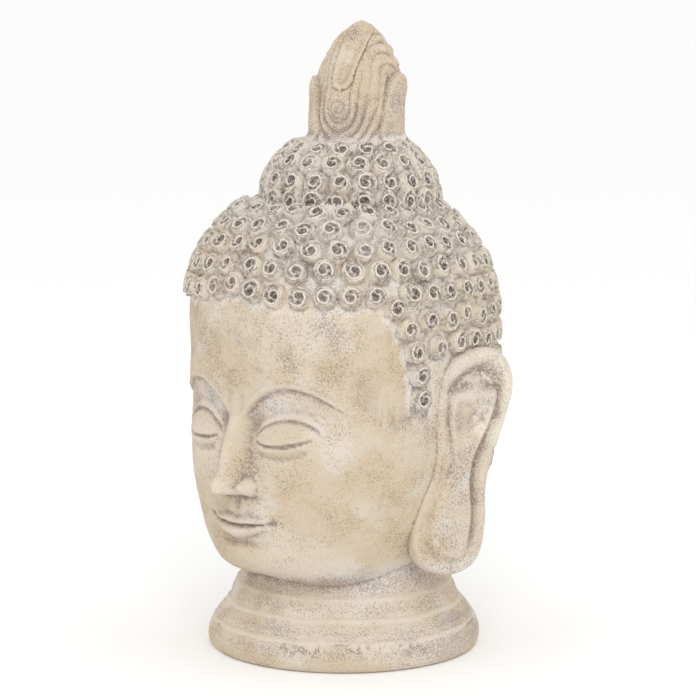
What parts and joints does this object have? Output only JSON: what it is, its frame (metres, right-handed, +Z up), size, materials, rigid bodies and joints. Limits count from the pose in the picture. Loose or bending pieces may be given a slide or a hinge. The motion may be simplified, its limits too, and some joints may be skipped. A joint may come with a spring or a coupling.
{
  "type": "buddha head statue",
  "caption": "Free-standing Buddha head with rows of coiled hair, cranial bun with flame finial, long pendant ears and a ringed neck that flares into a round flat foot.",
  "frame": {"origin": "centre of the round underside, on the surface it stands on", "axes": "+Z up through the finial, the face looks along -Y, +X towards the figure's left ear"},
  "size_m": [0.3774, 0.3916, 0.696],
  "materials": {
    "cast_stone": "matt weathered cream, grey-brown stain in the hollows"
  },
  "bodies": {
    "root": {"buddha_head": "cast_stone"}
  },
  "joints": []
}
